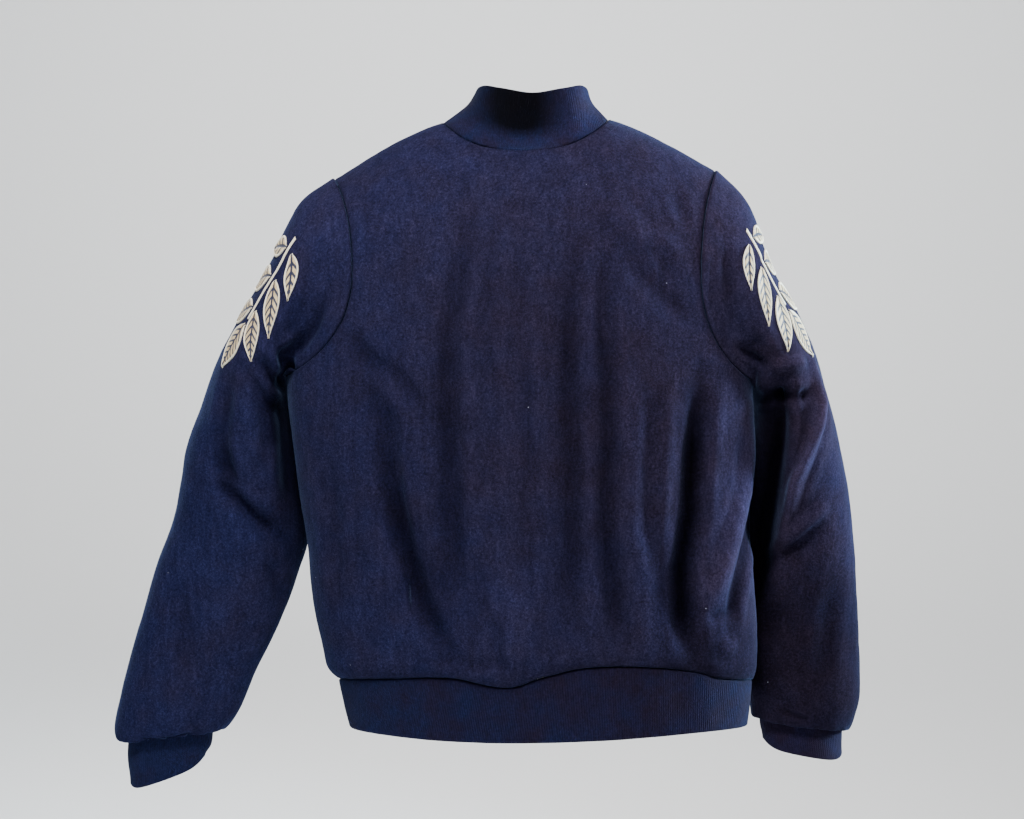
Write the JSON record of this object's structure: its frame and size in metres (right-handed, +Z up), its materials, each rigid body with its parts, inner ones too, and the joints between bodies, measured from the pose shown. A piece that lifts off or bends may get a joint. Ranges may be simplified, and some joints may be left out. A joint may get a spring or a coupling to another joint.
{
  "type": "bomber jacket",
  "caption": "Wool bomber jacket with a rib-knit stand collar, cuffs and hem, set-in sleeves, a full front zip and embroidered leaf sprays on the upper sleeves.",
  "frame": {"origin": "midway between the two points where the shoulder seams meet the neck seam", "axes": "+X towards the wearer's left, -Y towards the front with the zip, +Z up"},
  "size_m": [0.81, 0.2213, 0.7468],
  "materials": {
    "navy_wool": "felted wool, matt",
    "navy_rib_knit": "fine rib knit, matt",
    "navy_tape": "woven zip tape, matt",
    "brass": "polished zip metal",
    "pale_gold_thread": "satin stitch embroidery"
  },
  "bodies": {
    "jacket": {"back_panel": "navy_wool", "front_left": "navy_wool", "front_right": "navy_wool", "sleeve_left": "navy_wool", "sleeve_right": "navy_wool", "collar_rib": "navy_rib_knit", "hem_rib": "navy_rib_knit", "cuff_left": "navy_rib_knit", "cuff_right": "navy_rib_knit", "zip_tape_left": "navy_tape", "zip_tape_right": "navy_tape", "zip_chain": "brass", "zip_slider": "brass", "stem_left": "pale_gold_thread", "stem_right": "pale_gold_thread", "leaf_left_1": "pale_gold_thread", "leaf_left_2": "pale_gold_thread", "leaf_left_3": "pale_gold_thread", "leaf_left_4": "pale_gold_thread", "leaf_left_5": "pale_gold_thread", "leaf_left_6": "pale_gold_thread", "leaf_left_7": "pale_gold_thread", "leaf_right_1": "pale_gold_thread", "leaf_right_2": "pale_gold_thread", "leaf_right_3": "pale_gold_thread", "leaf_right_4": "pale_gold_thread", "leaf_right_5": "pale_gold_thread", "leaf_right_6": "pale_gold_thread", "leaf_right_7": "pale_gold_thread"},
    "pull_tab": {"zip_pull_tab": "brass"}
  },
  "joints": [
    {"name": "tab_swing", "type": "hinge", "parent": "jacket", "child": "pull_tab", "pos_m": [0.00529, -0.0881, -0.07622], "axis": [-1, 0, 0], "range_deg": [0, 150]}
  ]
}
